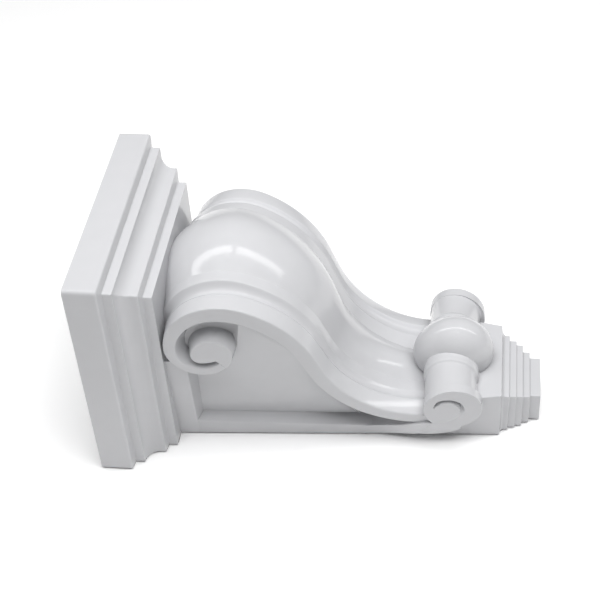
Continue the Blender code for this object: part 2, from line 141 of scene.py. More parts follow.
def soften(outline, cuts, steps=4):
    """Replace each inner corner of an open outline by a parabola that starts and ends at the cut.

    outline is (..., corners, 2) and cuts (..., corners). The curve's points are
    (1-s)^2 a + 2s(1-s) p + s^2 b, where p is the corner and a, b lie on its two sides. A cut
    takes less than half of a side, so neighbouring curves never meet.
    """
    outline = np.asarray(outline, float)
    cuts = np.broadcast_to(np.asarray(cuts, float), outline.shape[:-1]).copy()
    cuts[..., [0, -1]] = 0
    before = np.roll(outline, 1, axis=-2) - outline
    after = np.roll(outline, -1, axis=-2) - outline
    before_length = np.linalg.norm(before, axis=-1)
    after_length = np.linalg.norm(after, axis=-1)
    reach_before = np.minimum(cuts, LONGEST_CUT * before_length)
    reach_after = np.minimum(cuts, LONGEST_CUT * after_length)
    start = outline + before * (reach_before / np.maximum(before_length, 1e-9))[..., None]
    end = outline + after * (reach_after / np.maximum(after_length, 1e-9))[..., None]
    s = np.linspace(0, 1, steps + 1)[:, None]
    curve = ((1 - s) ** 2 * start[..., None, :] + 2 * s * (1 - s) * outline[..., None, :]
             + s ** 2 * end[..., None, :])
    return curve.reshape(*outline.shape[:-2], -1, 2)


def both_sides(half_outline):
    """Close a right-hand outline (..., points, 2) with its mirror image in the first coordinate."""
    mirrored = half_outline[..., ::-1, :] * np.array([-1.0, 1.0])
    return np.concatenate([half_outline, mirrored], axis=-2)


# %% [markdown]
# ## The cap
#
# The cap is a stack of mouldings mitred round three sides: slab, fillet, cove, band and neck. It
# is drawn as a joiner would, as one profile of insets and heights, and every point of that
# profile becomes a rectangle with rounded front corners.

# %% Rectangles with rounded corners
BACK_ROUND = 0.0008


def rounded_rectangle(front_half, back_half, depth, front_round, back_round, steps=7):
    """Rings of rectangles on the wall, as (rings, points, 2) of half width and depth."""
    front_half, back_half, depth, front_round, back_round = np.broadcast_arrays(
        front_half, back_half, depth, front_round, back_round)
    side = np.stack([np.stack([0 * depth, 0 * depth], -1), np.stack([back_half, 0 * depth], -1),
                     np.stack([front_half, depth], -1), np.stack([0 * depth, depth], -1)], axis=-2)
    cuts = np.stack([0 * depth, back_round, front_round, 0 * depth], axis=-1)
    return both_sides(soften(side, cuts, steps))


def moulding_rings(profile, cuts, front_round, steps=4):
    """Tube from rows (front half, back half, depth, height), with the profile's corners softened."""
    rows = np.asarray(profile, float)
    cuts = np.broadcast_to(cuts, len(rows))
    columns = [soften(np.stack([rows[:, 3], rows[:, k]], -1), cuts, steps)[:, 1] for k in range(3)]
    height = soften(np.stack([rows[:, 3], rows[:, 2]], -1), cuts, steps)[:, 0]
    front_round = np.repeat(np.broadcast_to(front_round, len(rows)), steps + 1)
    rings = rounded_rectangle(*columns, front_round, BACK_ROUND)
    return in_frame(rings[..., 0], rings[..., 1], height[:, None])


# %% The cap's profile
SLAB_HEIGHT = 0.0195
SLAB_DROP = 0.0009
FILLET_INSET = 0.0063
FILLET_HEIGHT = 0.0057
COVE_RADIUS = 0.0089
COVE_STEPS = 13
BAND_HEIGHT = 0.0026
NECK_INSET = 0.0062
NECK_DROP = 0.0008
SLAB_ARRIS = 0.0012
SLAB_CORNER = 0.0030
COVE_ARRIS = 0.0004
CAP_ARRIS = 0.0006
CAP_CORNER = 0.0010


def cap_rows():
    """Rows of the cap from the top down: slab, fillet, quarter-round cove, band, neck.

    At the angle a the cove lies r sin a further in than the fillet, and r (1 - cos a) lower.
    """
    cove = np.radians(np.linspace(0, 90, COVE_STEPS))
    level = HEIGHT - SLAB_HEIGHT - SLAB_DROP
    inset = [0.0, 0.0, FILLET_INSET]
    height = [HEIGHT, HEIGHT - SLAB_HEIGHT, level]
    level -= FILLET_HEIGHT
    inset += list(FILLET_INSET + COVE_RADIUS * np.sin(cove))
    height += list(level - COVE_RADIUS * (1 - np.cos(cove)))
    level -= COVE_RADIUS + BAND_HEIGHT
    inset += [FILLET_INSET + COVE_RADIUS, FILLET_INSET + COVE_RADIUS + NECK_INSET]
    height += [level, level - NECK_DROP]
    inset.append(inset[-1])
    height.append(UNDERSIDE)
    inset, height = np.array(inset), np.array(height)
    half = CAP_WIDTH / 2 - inset
    cuts = np.full(len(inset), CAP_ARRIS)
    cuts[:2] = SLAB_ARRIS
    cuts[3:3 + COVE_STEPS] = 0.0
    cuts[[3, 2 + COVE_STEPS]] = COVE_ARRIS
    corner = np.full(len(inset), CAP_CORNER)
    corner[:2] = SLAB_CORNER
    return np.stack([half, half, CAP_DEPTH - inset, height], axis=-1), cuts, corner


cap_body = moulding_rings(*cap_rows())
print("cap", cap_body.shape)

# %% [markdown]
# ## The foot
#
# The foot steps in five times to a small tip. The block above it has a cove under its lower edge
# and widens upwards behind the pin. Five boxes would do, but rows like the cap's give each step
# its soft arris.

# %% The foot's layers
FOOT_LAYERS = np.array([
    (0.0536, 0.0297, 0.0193),
    (0.0489, 0.0275, 0.0149),
    (0.0453, 0.0258, 0.0109),
    (0.0392, 0.0228, 0.0065),
    (0.0330, 0.0208, 0.0000),
])
FOOT_COVE_STEPS = 7
FOOT_COVE_DROP = 0.0024
BLOCK_DROP = 0.0002
STEP_DROP = 0.0001
FOOT_ARRIS = 0.0005
FOOT_CORNER = 0.0007
FLANK_RISE = (BODY_TOP_WIDTH - BLOCK_WIDTH) / 2 / (UNDERSIDE - BLOCK_BOTTOM)
FLANK_FLARE = 0.10


def flank(depth, height):
    """Half width of rail, post and block: it grows with height and with depth."""
    return BLOCK_WIDTH / 2 + FLANK_RISE * (height - BLOCK_BOTTOM) + FLANK_FLARE * depth


def foot_rows():
    """Rows of the foot from the block down to the tip; each layer is (width, depth, bottom)."""
    rows = [(flank(BLOCK_DEPTH, PIN_HEIGHT), flank(0.0, PIN_HEIGHT), BLOCK_DEPTH, PIN_HEIGHT),
            (BLOCK_WIDTH / 2, BLOCK_WIDTH / 2, BLOCK_DEPTH, BLOCK_BOTTOM)]
    cove = np.radians(np.linspace(0, 90, FOOT_COVE_STEPS))
    inset = (BLOCK_WIDTH - FOOT_LAYERS[0, 0]) / 2
    step = BLOCK_DEPTH - FOOT_LAYERS[0, 1]
    half = BLOCK_WIDTH / 2 - inset * np.sin(cove)
    rows += list(zip(half, half, BLOCK_DEPTH - step * np.sin(cove),
                     BLOCK_BOTTOM - BLOCK_DROP - FOOT_COVE_DROP * (1 - np.cos(cove))))
    width, depth, bottom = FOOT_LAYERS[0]
    rows.append((width / 2, width / 2, depth, bottom))
    for width, depth, lower in FOOT_LAYERS[1:]:
        rows.append((width / 2, width / 2, depth, bottom - STEP_DROP))
        rows.append((width / 2, width / 2, depth, lower))
        bottom = lower
    cuts = np.full(len(rows), FOOT_ARRIS)
    cuts[3:1 + FOOT_COVE_STEPS] = 0.0
    return rows, cuts, FOOT_CORNER


foot_body = moulding_rings(*foot_rows())
print("foot", foot_body.shape)

# %% [markdown]
# ## The scroll
#
# Seen from the side, the band's outer arris is a chain of arcs: up from the pin, out along the
# hollow, round the shoulder and into the volute, where each quarter turn has a smaller radius.
# Draughtsmen draw volutes with a compass in just this way, so the path is built as arcs too.

# %% The arris as a chain of arcs
TAIL_LENGTH = 0.014
TAIL_DEPTH = 0.0267
TAIL_TOP = 0.0707
BAND_ARCS = (
    (None, TAIL_LENGTH),
    (0.0629, math.radians(67.2)),
    (None, 0.0150),
    (0.0701, math.radians(21.1 - 67.2)),
    (0.0350, math.radians(-90 - 21.1)),
    (0.0221, math.radians(-90)),
    (0.0178, math.radians(-90)),
)
EYE_ARCS = (
    (0.0117, math.radians(-90)),
    (0.0129, math.radians(-90)),
    (0.0061, math.radians(-90)),
    (0.0200, math.radians(-25)),
)
BAND_SPACING = 0.0011
EYE_SPACING = 0.0005


def arris_path(start, arcs, spacing):
    """Stations (depth, height, heading, travel) along pairs of radius and turn.

    Heading 0 is up and a positive turn goes forward. A pair without a radius is a straight
    stretch, and its second value is the length.
    """
    depth, height, heading, travel = start
    stations = [np.array([start])]
    for radius, amount in arcs:
        length = amount if radius is None else abs(radius * amount)
        share = np.linspace(0, 1, max(2, round(length / spacing)) + 1)[1:]
        if radius is None:
            headings = np.full(len(share), heading)
            depths = depth + math.sin(heading) * length * share
            heights = height + math.cos(heading) * length * share
        else:
            side = math.copysign(radius, amount)
            headings = heading + amount * share
            depths = depth + side * (math.cos(heading) - np.cos(headings))
            heights = height + side * (np.sin(headings) - math.sin(heading))
        stations.append(np.stack([depths, heights, headings, travel + length * share], axis=-1))
        depth, height, heading, travel = stations[-1][-1]
    return np.concatenate(stations)


path = arris_path((TAIL_DEPTH, TAIL_TOP - TAIL_LENGTH, 0.0, 0.0), BAND_ARCS, BAND_SPACING)
top_travel = path[path[:, 0].argmax(), 3]
print("arris", len(path), "stations,", round(path[-1, 3] * 1000), "mm long")

# %% [markdown]
# Widths and rises change slowly from the foot of the scroll to its top, so each is written as a
# pair of values, and the share of the way along the arris blends them. The band's side face is
# flat and leans outwards towards the cap and the front.

# %% Widths along the scroll
BAND_HALF = 0.0364
BAND_RISE = 0.0617
BAND_FLARE = 0.0621
EDGE_WIDTH = (0.0068, 0.0109)
THINNING = 0.0052
THINNING_RATE = 1.6


def blend(foot, top, share):
    """Value that goes from foot to top as the share goes from 0 to 1."""
    return foot + (top - foot) * share


def ease(share):
    """3s^2 - 2s^3, held at 0 and 1 outside."""
    share = np.clip(share, 0, 1)
    return share * share * (3 - 2 * share)


def fade(value, start, end):
    """Eased share of the way from start to end."""
    return ease((value - start) / (end - start))


def band_face(depth, height):
    """Half width of the band's side face: a plane that rises with height and with depth."""
    return BAND_HALF + BAND_RISE * height + BAND_FLARE * depth


def band_edge(travel):
    """Width of the band's side face, growing to the volute and shrinking again into the eye."""
    beyond = np.clip(THINNING_RATE * (travel - top_travel) / (path[-1, 3] - top_travel), 0, 1)
    return blend(*EDGE_WIDTH, ease(travel / top_travel)) - THINNING * beyond


def inward(stations, distance):
    """Depth and height at a distance inside the arris."""
    heading = stations[..., 2]
    depth = stations[..., 0] - np.cos(heading) * distance
    return depth, stations[..., 1] + np.sin(heading) * distance


print("band's side face", band_edge(np.array([0, top_travel, path[-1, 3]])).round(4), "wide")

# %% [markdown]
# Across the scroll the moulding has, from the side inwards: a rim, a hollow channel that is
# deepest beside the next fillet, the fillet, and a cushion in the middle. It could be a curve
# with a bevel object, but that profile would stay the same all along, so each station of the
# arris gets a section of its own. The band's inner wall slopes, because a cast piece has to
# leave its mould, and the relief fades where the band turns in under the cap.

# %% Section of the scroll
BAND_SINK = 0.0120
DRAFT = 0.40
RIM_WIDTH = (0.0102, 0.0112)
RIM_RISE = (0.0033, 0.0010)
CHANNEL_WIDTH = (0.0086, 0.0084)
CHANNEL_SINK = (0.0018, 0.0020)
CHANNEL_POWER = 2.6
CHANNEL_STEPS = 8
FILLET_WIDTH = (0.0110, 0.0068)
FILLET_RISE = (0.0010, 0.0041)
FILLET_TILT = (-0.0024, 0.0012)
CUSHION_BULGE = (0.0040, 0.0085)
CUSHION_STEPS = 14
RELIEF_FADE = (94, 116)
INNER_ARRIS = 0.0006
OUTER_ARRIS = 0.0011
RIM_ARRIS = 0.0012
FILLET_ARRIS = 0.0007
CREASE_ARRIS = 0.0002
ARRIS_STEPS = 3


def scroll_rings():
    """Rings across the scroll: wall root, inner edge, arris, rim, channel, fillet, cushion, mirrored.

    With t from 0 to 1 across the channel its level is rim + (fillet - rim) t^2.6 - sink sin(pi t).
    The cushion rises from the fillet's crease to the middle by a quarter of a sine wave.
    """
    travel = path[:, 3]
    share = np.clip(travel / top_travel, 0, 1)
    strength = 1 - fade(-np.degrees(path[:, 2]), *RELIEF_FADE)
    edge = band_edge(travel)
    half = band_face(path[:, 0], path[:, 1])
    inner = band_face(*inward(path, edge))
    rim, rim_rise = blend(*RIM_WIDTH, share), blend(*RIM_RISE, share)
    channel, sink = blend(*CHANNEL_WIDTH, share), blend(*CHANNEL_SINK, share)
    fillet, fillet_rise = blend(*FILLET_WIDTH, share), blend(*FILLET_RISE, share)
    tilt, bulge = blend(*FILLET_TILT, share), blend(*CUSHION_BULGE, share)
    front = [(rim, rim_rise, RIM_ARRIS)]
    for part in np.linspace(0, 1, CHANNEL_STEPS + 1)[1:]:
        climb = (fillet_rise - rim_rise) * part ** CHANNEL_POWER
        front.append((rim + channel * part, rim_rise + climb - sink * math.sin(part * math.pi), 0.0))
    front[-1] = (*front[-1][:2], FILLET_ARRIS)
    crease = rim + channel + fillet
    front.append((crease, fillet_rise + tilt, CREASE_ARRIS))
    for part in np.linspace(0, 1, CUSHION_STEPS + 1)[1:]:
        front.append((crease + (half - crease) * part,
                      fillet_rise + tilt + bulge * math.sin(part * math.pi / 2), 0.0))
    corners = [(inner - BAND_SINK, -edge - DRAFT * BAND_SINK), (inner, -edge), (half, 0 * edge)]
    corners += [(half - across, rise * strength) for across, rise, _ in front]
    cuts = [0.0, INNER_ARRIS, OUTER_ARRIS] + [cut for _, _, cut in front]
    outline = np.stack([np.stack(np.broadcast_arrays(*corner), -1) for corner in corners], axis=-2)
    return both_sides(soften(outline, np.array(cuts), ARRIS_STEPS)[:, :-ARRIS_STEPS])


section = scroll_rings()
depths, heights = inward(path[:, None, :], -section[..., 1])
scroll_body = in_frame(section[..., 0], depths, heights)
print("scroll", scroll_body.shape)

# %% [markdown]
# ## The sides
#
# A rail along the wall and a post under the cap frame a sunk panel. Both are short tubes whose
# front arris is softened and whose inner wall slopes like the band's. They overlap the cap and
# the foot a little, as in the casting, where nothing is only butted. Their hidden backs lie a
# hair inside the wall plane, so that no two faces share it.

# %% Rail and post
POST_LOW = UNDERSIDE - 0.0123
POST_DEPTH = 0.0705
LAP = 0.004
ROOT = 0.001
RAIL_BACK = 0.0001
HIDDEN_BACK = 0.0010
POST_PROUD = 0.0001
SIDE_ARRIS = 0.0007
RAIL_DEPTH = (0.0086, 0.0125)
RAIL_SWELL_START = 0.099
RAIL_SWELL_POWER = 1.3
PANEL_SINK = (0.0083, 0.0064)


def rail_depth(height):
    """Depth of the rail's front arris: even low down, then growing with the share^1.3."""
    share = np.clip(height - RAIL_SWELL_START, 0, None) / (POST_LOW - RAIL_SWELL_START)
    return blend(*RAIL_DEPTH, share ** RAIL_SWELL_POWER)


def panel_sink(height):
    """Depth of the panel floor under the rail's arris."""
    return blend(*PANEL_SINK, (height - TAIL_TOP) / (UNDERSIDE - TAIL_TOP))


def softened_ring(corners, cuts):
    """Closed outlines from right-hand corners, each a pair of arrays, with the cuts rounded."""
    return both_sides(soften(np.stack([np.stack(corner, -1) for corner in corners], axis=-2), cuts))


def rail_rings():
    """Rings of the rail: back, side face, softened front arris and sloping front wall."""
    height = np.linspace(PIN_HEIGHT - LAP, UNDERSIDE + LAP, 60)
    arris = rail_depth(height)
    sink = panel_sink(height) + ROOT
    zero = 0 * height
    back = RAIL_BACK + zero
    wall = arris + DRAFT * sink
    corners = [(zero, back), (flank(0, height), back), (flank(arris, height), arris),
               (flank(arris, height) - sink, wall), (zero, wall)]
    ring = softened_ring(corners, [0, BACK_ROUND, SIDE_ARRIS, 0, 0])
    return in_frame(ring[..., 0], ring[..., 1], height[:, None])


def post_rings():
    """Rings of the post: side face down to a softened arris, then the sloping lower wall."""
    depth = np.linspace(HIDDEN_BACK, POST_DEPTH, 40)
    sink = panel_sink(POST_LOW) + ROOT + FLANK_FLARE * depth
    zero = 0 * depth
    top = UNDERSIDE + LAP
    low = flank(depth, POST_LOW) + POST_PROUD
    wall = POST_LOW - DRAFT * sink
    corners = [(zero, top + zero), (flank(depth, top) + POST_PROUD, top + zero),
               (low, POST_LOW + zero), (low - sink, wall), (zero, wall)]
    ring = softened_ring(corners, [0, 0, SIDE_ARRIS, 0, 0])
    return in_frame(ring[..., 0], depth[:, None], ring[..., 1])


rail_body = rail_rings()
post_body = post_rings()
print("rail", rail_body.shape, "post", post_body.shape)

# %% [markdown]
# The panel's floor is a ruled surface: straight lines run from the deep line beside the rail to
# the inner edge of the band, where the floor is flush low down and sinks gradually higher up.
# One tube between the two floors makes both of them at once. Its front follows the middle of the
# band up the scroll, then the coil of the volute.

# %% Panel floor
FLOOR_SINK_START = 0.1335
FLOOR_SINK_END = 0.1830
FLOOR_SINK = 0.0045
FLOOR_SINK_POWER = 2.4
FLOOR_GAP = 0.00005
POCKET_BOTTOM = 0.1750
POCKET_CORNER = (0.0790, 0.1800)
BAND_MIDDLE = 0.5


def at_height(stations, distance, height):
    """Depth of the line at a distance inside the arris, read off at the given heights."""
    depths, heights = inward(stations, distance)
    order = np.argsort(heights)
    return np.interp(height, heights[order], depths[order])


def panel_rings(height, front):
    """Rings of the body between the two panel floors at the given heights."""
    rail = rail_depth(height)
    sink = panel_sink(height)
    deep = rail + DRAFT * sink
    deep_half = flank(rail, height) - sink
    front = np.maximum(front, deep + ROOT)
    edge = at_height(path[rising], edges[rising], np.minimum(height, FLOOR_SINK_END))
    under = np.clip(height - FLOOR_SINK_START, 0, None) / (FLOOR_SINK_END - FLOOR_SINK_START)
    edge_half = band_face(edge, height) - FLOOR_SINK * under ** FLOOR_SINK_POWER - FLOOR_GAP
    slope = (edge_half - deep_half) / (edge - deep)
    bend = np.minimum(edge, front - ROOT)
    share = np.linspace(0, 1, 20)[None, :]
    depth = deep[:, None] + (bend - deep)[:, None] * share
    half = deep_half[:, None] + slope[:, None] * (depth - deep[:, None])
    zero = 0 * deep[:, None]
    half = np.concatenate([zero, deep_half[:, None], half, half[:, -1:] - ROOT, zero], axis=1)
    back = zero + HIDDEN_BACK
    depth = np.concatenate([back, back, depth, front[:, None], front[:, None]], axis=1)
    ring = both_sides(np.stack([half, depth], axis=-1))
    return in_frame(ring[..., 0], ring[..., 1], height[:, None])


edges = band_edge(path[:, 3])
rising = path[:, 2] > -math.pi / 2
lower_height = np.linspace(PIN_HEIGHT - LAP, POCKET_BOTTOM, 90)[:-1]
lower_panel = panel_rings(lower_height, at_height(path[rising], edges[rising] * BAND_MIDDLE, lower_height))
coil_depth, coil_height = inward(path[~rising], edges[~rising] * BAND_MIDDLE)
rise_depth = at_height(path[rising], edges[rising] * BAND_MIDDLE, POCKET_BOTTOM)
coil_depth = np.append(coil_depth, [POCKET_CORNER[0], rise_depth])
coil_height = np.append(coil_height, [POCKET_CORNER[1], POCKET_BOTTOM])
upper_height = np.linspace(POCKET_BOTTOM, UNDERSIDE + LAP, 50)
upper_panel = panel_rings(upper_height, np.interp(upper_height, coil_height[::-1], coil_depth[::-1]))
panel_body = np.concatenate([lower_panel, upper_panel])
print("panel", panel_body.shape)

# %% [markdown]
# Inside the volute the ground lies deeper than the panel, so the round eye stands free. The
# ground is a plain slab with the band's coil as its outline. The eye is the band itself, wound
# on to its tip: its arris is softened, and its wall leans out from nothing, so the slit beside
# it starts sharp and opens.

# %% Ground and eye of the volute
POCKET_SINK = 0.0098
POCKET_CORNER_SINK = 0.0064
EYE_START = -230
EYE_LEAN_TURN = 60
EYE_LEAN = 0.30
EYE_LAP = 0.0020
EYE_PROUD = 0.00004
EYE_ARRIS = 0.0009
EYE_STEPS = 5


def volute_ground():
    """Ground inside the volute: the band's middle line, closed below by a nearly level line."""
    depth, height = inward(path, edges * BAND_MIDDLE)
    inside = height > POCKET_BOTTOM
    depth = np.concatenate([depth[inside][:1], depth[inside], POCKET_CORNER[:1]])
    height = np.concatenate([[POCKET_BOTTOM], height[inside], POCKET_CORNER[1:]])
    sink = np.full(len(depth), POCKET_SINK)
    sink[-1] = POCKET_CORNER_SINK
    half = band_face(depth, height) - sink
    return np.stack([in_frame(-half, depth, height), in_frame(half, depth, height)])


def eye_rings():
    """Rings of the eyes: the band winds in to its tip, with a softened arris and a drafted wall.

    The wall leans out by 0.30 of its depth; the lean grows from nothing over the first sixty degrees.
    """
    tail = arris_path(tuple(path[-1]), EYE_ARCS, EYE_SPACING)[1:]
    winding = np.concatenate([path[np.degrees(path[:, 2]) < EYE_START], tail])
    lean = np.clip((EYE_START - np.degrees(winding[:, 2])) / EYE_LEAN_TURN, 0, 1)
    corners = [(-EYE_PROUD, -EYE_LAP), (-EYE_PROUD, 0.0), (BAND_SINK, EYE_LEAN * BAND_SINK)]
    profile = soften(np.array(corners), [0, EYE_ARRIS, 0], EYE_STEPS)[EYE_STEPS:]
    sink, spread = profile[:, :1], profile[:, 1:]
    depth, height = inward(winding, -np.where(spread > 0, spread * lean, spread))
    half = band_face(depth, height) - sink
    return np.concatenate([in_frame(-half, depth, height), in_frame(half, depth, height)[::-1]])


ground_body = volute_ground()
eye_body = eye_rings()
print("ground", ground_body.shape, "eye", eye_body.shape)

# %% [markdown]
# ## The cross pin
#
# Below the scroll a pin runs across: a disc at each end, a neck, a collar and a bead in the
# middle. It looks turned, so a profile of half widths and radii is carried round the pin. The
# neck sits a little higher than the discs, where it grows out of the scroll.

# %% Neck and collar
DISC_HALF = 0.0441
DISC_RISE = 0.095
DISC_FLARE = 0.100
NECK_CENTRE = (0.0350, 0.0540)
NECK_RADIUS = 0.0159
NECK_FLARE = 0.0011
NECK_SHIFT = 0.0007
NECK_IN = 0.0060
NECK_FLARE_LENGTH = 0.0024
COLLAR_CENTRE = (0.0365, 0.0549)
COLLAR_PROFILE = np.array([(0.0228, 0.0154), (0.0216, 0.0158), (0.0203, 0.0169), (0.0125, 0.0169)])
COLLAR_CUTS = (0, 0.0006, 0.0022, 0)


def turned_rings(centre, rows, angle):
    """Half width, depth and height of circles about a centre for rows of (half width, radius)."""
    along, radius = np.asarray(rows).T[:, :, None]
    return along + 0 * angle, centre[0] + radius * np.cos(angle), centre[1] + radius * np.sin(angle)


def disc_face(depth, height):
    """Half width of the end discs' faces, which lean outwards like the scroll's sides."""
    return DISC_HALF + DISC_RISE * (height - PIN_HEIGHT) + DISC_FLARE * (depth - PIN_DEPTH)


def pin_rings(around=88):
    """Rings of the pin from inside one disc to inside the other.

    The neck flares towards the disc as a quarter circle: its radius grows with 1 - sin a while
    it moves out with 1 - cos a, and its middle slides to the disc's.
    """
    angle = np.linspace(0, 2 * math.pi, around, endpoint=False)
    flare = np.radians(np.linspace(0, 90, 7))[:, None]
    near_disc = 1 - np.sin(flare)
    neck_in = NECK_IN + NECK_FLARE_LENGTH * (1 - np.cos(flare)) + 0 * angle
    neck_radius = NECK_RADIUS + NECK_FLARE * near_disc
    neck_depth = NECK_CENTRE[0] - NECK_SHIFT * near_disc + neck_radius * np.cos(angle)
    neck_height = NECK_CENTRE[1] - NECK_SHIFT * near_disc + neck_radius * np.sin(angle)
    collar = turned_rings(COLLAR_CENTRE, soften(COLLAR_PROFILE, COLLAR_CUTS, 6), angle)
    half = np.concatenate([disc_face(neck_depth, neck_height) - neck_in, collar[0]])
    depth = np.concatenate([neck_depth, collar[1]])
    height = np.concatenate([neck_height, collar[2]])
    return np.concatenate([in_frame(-half, depth, height), in_frame(half, depth, height)[::-1]])


pin_body = pin_rings()
print("pin", pin_body.shape)

# %% [markdown]
# The bead is an ellipsoid on the pin's axis. A scaled sphere would sit on the scroll like a ball,
# but on the casting it runs out into the hollow, so its radius swells on that side.

# %% Bead
BEAD_DEPTH = 0.0417
BEAD_HEIGHT = 0.0528
BEAD_HALF = 0.0177
BEAD_RADIUS = 0.0232
BEAD_SWELL = 0.16
BEAD_SWELL_TURN = 112


def bead_rings(around=96, along=48):
    """Rings of the bead: half length cos a, radius sin a, swollen by a sixth towards the scroll."""
    angle = np.linspace(0, 2 * math.pi, around, endpoint=False)
    a = np.linspace(0, math.pi, along + 1)[1:-1, None]
    swell = 1 + BEAD_SWELL * np.clip(np.cos(angle - math.radians(BEAD_SWELL_TURN)), 0, None) ** 3
    radius = BEAD_RADIUS * np.sin(a) * swell
    depth = BEAD_DEPTH + radius * np.cos(angle)
    return in_frame(-BEAD_HALF * np.cos(a), depth, BEAD_HEIGHT + radius * np.sin(angle))


bead_body = bead_rings()
print("bead", bead_body.shape)

# %% [markdown]
# ## The straps and discs
#
# The rail's lower end curls forward from the wall, flares out and runs into the disc, so strap
# and disc share one face. Its outline is two smooth curves through a few measured points, and
# an arc of the disc's circle between them.

# %% Outline of the strap and disc
STRAP_LOWER = np.array([
    (0.0000, 0.1070), (0.0012, 0.1010), (0.0026, 0.0942), (0.0044, 0.0848),
    (0.0057, 0.0786), (0.0068, 0.0725), (0.0077, 0.0664), (0.0090, 0.0603),
    (0.0127, 0.0507), (0.0198, 0.0424), (0.0301, 0.0367),
])
STRAP_UPPER = np.array([
    (0.0082, 0.1070), (0.0096, 0.1010), (0.0117, 0.0942), (0.0152, 0.0848),
    (0.0177, 0.0786), (0.0198, 0.0725), (0.0209, 0.0664), (0.0224, 0.0598),
    (0.0243, 0.0544), (0.0271, 0.0509), (0.0330, 0.0487),
])
OUTLINE_STEPS = 90
LOWER_STEPS = 75
UPPER_STEPS = 70
RIM_STEPS = 150
DISC_RADIUS = 0.0175


def flowing(points, count):
    """Points along a Catmull-Rom curve through the given points.

    Between b and c, with a before and d after them, the point at the share s is half of
    2b + (c - a) s + (2a - 5b + 4c - d) s^2 + (3b - a - 3c + d) s^3.
    """
    padded = np.concatenate([2 * points[:1] - points[1:2], points, 2 * points[-1:] - points[-2:-1]])
    place = np.linspace(0, len(points) - 1, count)
    k = np.minimum(place.astype(int), len(points) - 2)
    s = (place - k)[:, None]
    a, b, c, d = (padded[k + n] for n in range(4))
    curve = 2 * b + (c - a) * s + (2 * a - 5 * b + 4 * c - d) * s ** 2
    return 0.5 * (curve + (3 * b - a - 3 * c + d) * s ** 3)


def end_outline():
    """Strap and disc as one outline: down the lower edge, round the disc, back up the front arris."""
    lower, upper = flowing(STRAP_LOWER, OUTLINE_STEPS), flowing(STRAP_UPPER, OUTLINE_STEPS)
    centre = np.array([PIN_DEPTH, PIN_HEIGHT])

    def outside(points):
        """The points that lie outside the disc."""
        return points[np.linalg.norm(points - centre, axis=1) > DISC_RADIUS]

    down, back = outside(lower[:LOWER_STEPS]), outside(upper[:UPPER_STEPS])[::-1]
    first, last = (np.arctan2(*(end - centre)[::-1]) for end in (down[-1], back[0]))
    turn = np.linspace(first, last + 2 * math.pi * (last < first), RIM_STEPS)[1:-1]
    rim = centre + DISC_RADIUS * np.stack([np.cos(turn), np.sin(turn)], axis=-1)
    return np.concatenate([down, rim, back])


end_line = end_outline()
print("strap and disc outline", end_line.shape)

# %% [markdown]
# A line winds round the middle of the shared face: over the top it is cut as a groove, and under
# it fades into the strap's front arris. Sculpting would do for one corbel, but a height field
# repeats exactly on both ends. Its line is kept as a few pairs of angle and radius, in degrees
# and millimetres, and the other sizes of the groove are in the same units.

# %% Height of the shared face
LINE_CENTRE = (0.0335, 0.0565)
LINE_KNOTS = np.array([
    (-215, 15.1), (-197, 11.5), (-170, 9.6), (-140, 8.5), (-90, 7.7),
    (-30, 6.7), (30, 6.8), (60, 7.3), (85, 8.0), (145, 8.6),
])
LINE_SMOOTHING = 12
GROOVE_SINK = 3.0
GROOVE_WIDTH = (0.4, 3.1)
GROOVE_WIDENS = (85, 25)
GROOVE_STARTS = (86, 46)
GROOVE_ENDS = (-140, -45)
STRAP_LEVEL = 0.4
STRAP_LEVEL_WIDTH = 0.8
STRAP_LEVEL_ENDS = (-60, 70)
FACE_MEETS_DISC = (0.062, 0.016)


def end_face(depth, height):
    """Half width of the shared face before carving: the flank's far from the pin, the disc's near it."""
    distance = np.hypot(depth - PIN_DEPTH, height - PIN_HEIGHT)
    return blend(flank(depth, height), disc_face(depth, height), fade(distance, *FACE_MEETS_DISC))


def carving(depth, height):
    """How far the face lies under the disc's plane, in metres.

    About the groove's middle, rho and phi are polar coordinates in millimetres and degrees. The
    line's radius is a smooth function of phi. Outside it lies the groove, whose depth fades to
    the tip and to the strap, and beyond it the strap's level, a little lower than the middle.
    """
    across, up = (depth - LINE_CENTRE[0]) * 1000, (height - LINE_CENTRE[1]) * 1000
    rho = np.hypot(across, up)
    phi = np.degrees(np.arctan2(up, across))
    first, last = LINE_KNOTS[0, 0], LINE_KNOTS[-1, 0]
    phi = np.where(phi > last, phi - 360, phi)
    grid = np.arange(first, last + 1)
    padded = np.pad(np.interp(grid, *LINE_KNOTS.T), LINE_SMOOTHING, mode="edge")
    window = 2 * LINE_SMOOTHING + 1
    line = np.interp(phi, grid, np.convolve(padded, np.ones(window) / window, "valid"))
    q = (rho - line) / blend(*GROOVE_WIDTH, fade(phi, *GROOVE_WIDENS))
    hollow = fade(q, 0, 0.4) * (1 - fade(q, 0.55, 1))
    groove = GROOVE_SINK * fade(phi, *GROOVE_STARTS) * fade(phi, *GROOVE_ENDS) * hollow
    lower = STRAP_LEVEL * ease((rho - line) / STRAP_LEVEL_WIDTH) * (1 - fade(phi, *STRAP_LEVEL_ENDS))
    return (groove + lower) / 1000


below = float(carving(LINE_CENTRE[0], LINE_CENTRE[1] - DISC_RADIUS / 2))
print("groove", round(below * 1000, 2), "mm deep halfway down the disc")

# %% [markdown]
# The outline is filled with a net of points and triangulated, since neither a loft nor a turned
# form follows both strap and disc. A softened edge and a straight wall join the face to the back
# of the disc.

# %% Strap and disc as shells
DISC_THICKNESS = 0.0062
EDGE_REACH = 0.0011
EDGE_ARRIS = 0.0009
EDGE_STEPS = 5
NET_SPACING = 0.00045
NET_CLEAR = 0.6
STRAP_END_REACH = 0.004
STRAP_END_FREE = 0.03
FILL_TOLERANCE = 1e-9


